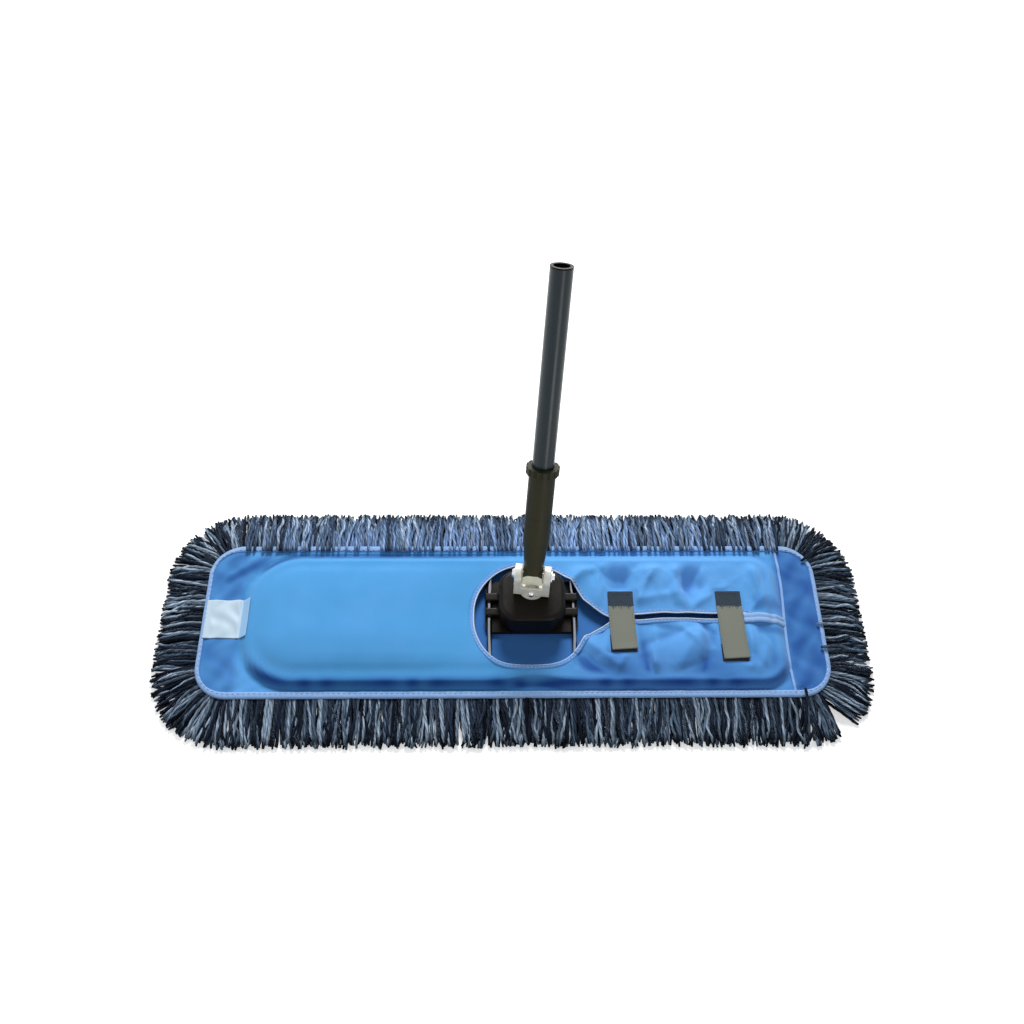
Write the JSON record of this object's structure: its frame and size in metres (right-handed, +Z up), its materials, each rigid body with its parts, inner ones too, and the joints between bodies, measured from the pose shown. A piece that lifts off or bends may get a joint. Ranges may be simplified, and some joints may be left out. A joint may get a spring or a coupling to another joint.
{
  "type": "dust mop",
  "caption": "Flat pocket dust mop: a yarn-fringed cloth head on a wire frame, with a swivelling, tilting handle socket and a short tube that takes a further handle section.",
  "frame": {"origin": "on the floor under the middle of the mop head", "axes": "+X along the mop towards the closure straps, +Y across the mop away from the near side, +Z up"},
  "size_m": [0.782, 0.3333, 0.375],
  "materials": {
    "yarn": "twisted navy and grey-white yarn",
    "backing_cloth": "plain woven blue cloth",
    "pocket_cloth": "plain woven blue cloth with a slight sheen",
    "binding_tape": "folded and stitched blue tape",
    "label_cloth": "blank white satin tag",
    "dark_webbing": "dark navy webbing",
    "grey_webbing": "olive-grey loop webbing",
    "hook_tape": "black hook tape",
    "plated_wire": "bright plated steel wire",
    "black_moulding": "glossy black moulded plastic",
    "steel": "zinc-plated steel",
    "nylon": "natural nylon",
    "cast_yoke": "bright cast metal",
    "socket_moulding": "dark olive-brown moulded plastic",
    "tube_enamel": "slate-coloured enamelled tube"
  },
  "bodies": {
    "mop_head": {"yarn_pile": "yarn", "yarn_fringe": "yarn", "backing_cloth": "backing_cloth", "pocket_hem": "pocket_cloth", "pocket_side_walls": "pocket_cloth", "pocket_end_walls": "pocket_cloth", "pocket_roof": "pocket_cloth", "hem_binding": "binding_tape", "keyhole_binding": "binding_tape", "care_label": "label_cloth", "strap_anchor_inner": "dark_webbing", "strap_anchor_outer": "dark_webbing", "hook_patch_inner": "hook_tape", "hook_patch_outer": "hook_tape", "frame_sides": "plated_wire", "frame_ends": "plated_wire", "cross_wires": "plated_wire", "clamp_plate": "black_moulding", "connector_housing": "black_moulding", "clamp_screws": "steel", "swivel_bolt": "steel", "nut_washer": "steel", "swivel_nut": "steel", "thrust_washer": "nylon"},
    "yoke": {"yoke": "cast_yoke", "tension_screw": "steel", "tilt_pin": "steel", "pin_clip": "steel", "friction_washers": "nylon"},
    "socket": {"handle_socket": "socket_moulding", "grip_bush": "nylon"},
    "collar": {"lock_collar": "black_moulding"},
    "tube": {"handle_tube": "tube_enamel", "end_bush": "black_moulding"},
    "strap_inner": {"closure_strap_inner": "grey_webbing"},
    "strap_outer": {"closure_strap_outer": "grey_webbing"}
  },
  "joints": [
    {"name": "yoke_swivel", "type": "hinge", "parent": "mop_head", "child": "yoke", "pos_m": [0.019, 0.021, 0.05155], "axis": [0, 0, 1], "continuous": true},
    {"name": "handle_tilt", "type": "hinge", "parent": "yoke", "child": "socket", "pos_m": [0.019, 0.021, 0.07775], "axis": [0.9925, -0.1219, 0], "range_deg": [-56, 114]},
    {"name": "collar_twist", "type": "hinge", "parent": "socket", "child": "collar", "pos_m": [0.02639, 0.08115, 0.18708], "axis": [0.0591, 0.4812, 0.8746], "range_deg": [0, 90]},
    {"name": "tube_slide", "type": "slide", "parent": "socket", "child": "tube", "axis": [0.0591, 0.4812, 0.8746], "range_m": [0, 0.07]},
    {"name": "strap_inner_peel", "type": "hinge", "parent": "mop_head", "child": "strap_inner", "pos_m": [0.1175, 0.00565, 0.0273], "axis": [-1, 0, 0], "range_deg": [0, 165]},
    {"name": "strap_outer_peel", "type": "hinge", "parent": "mop_head", "child": "strap_outer", "pos_m": [0.237, 0.00565, 0.0273], "axis": [-1, 0, 0], "range_deg": [0, 165]}
  ]
}
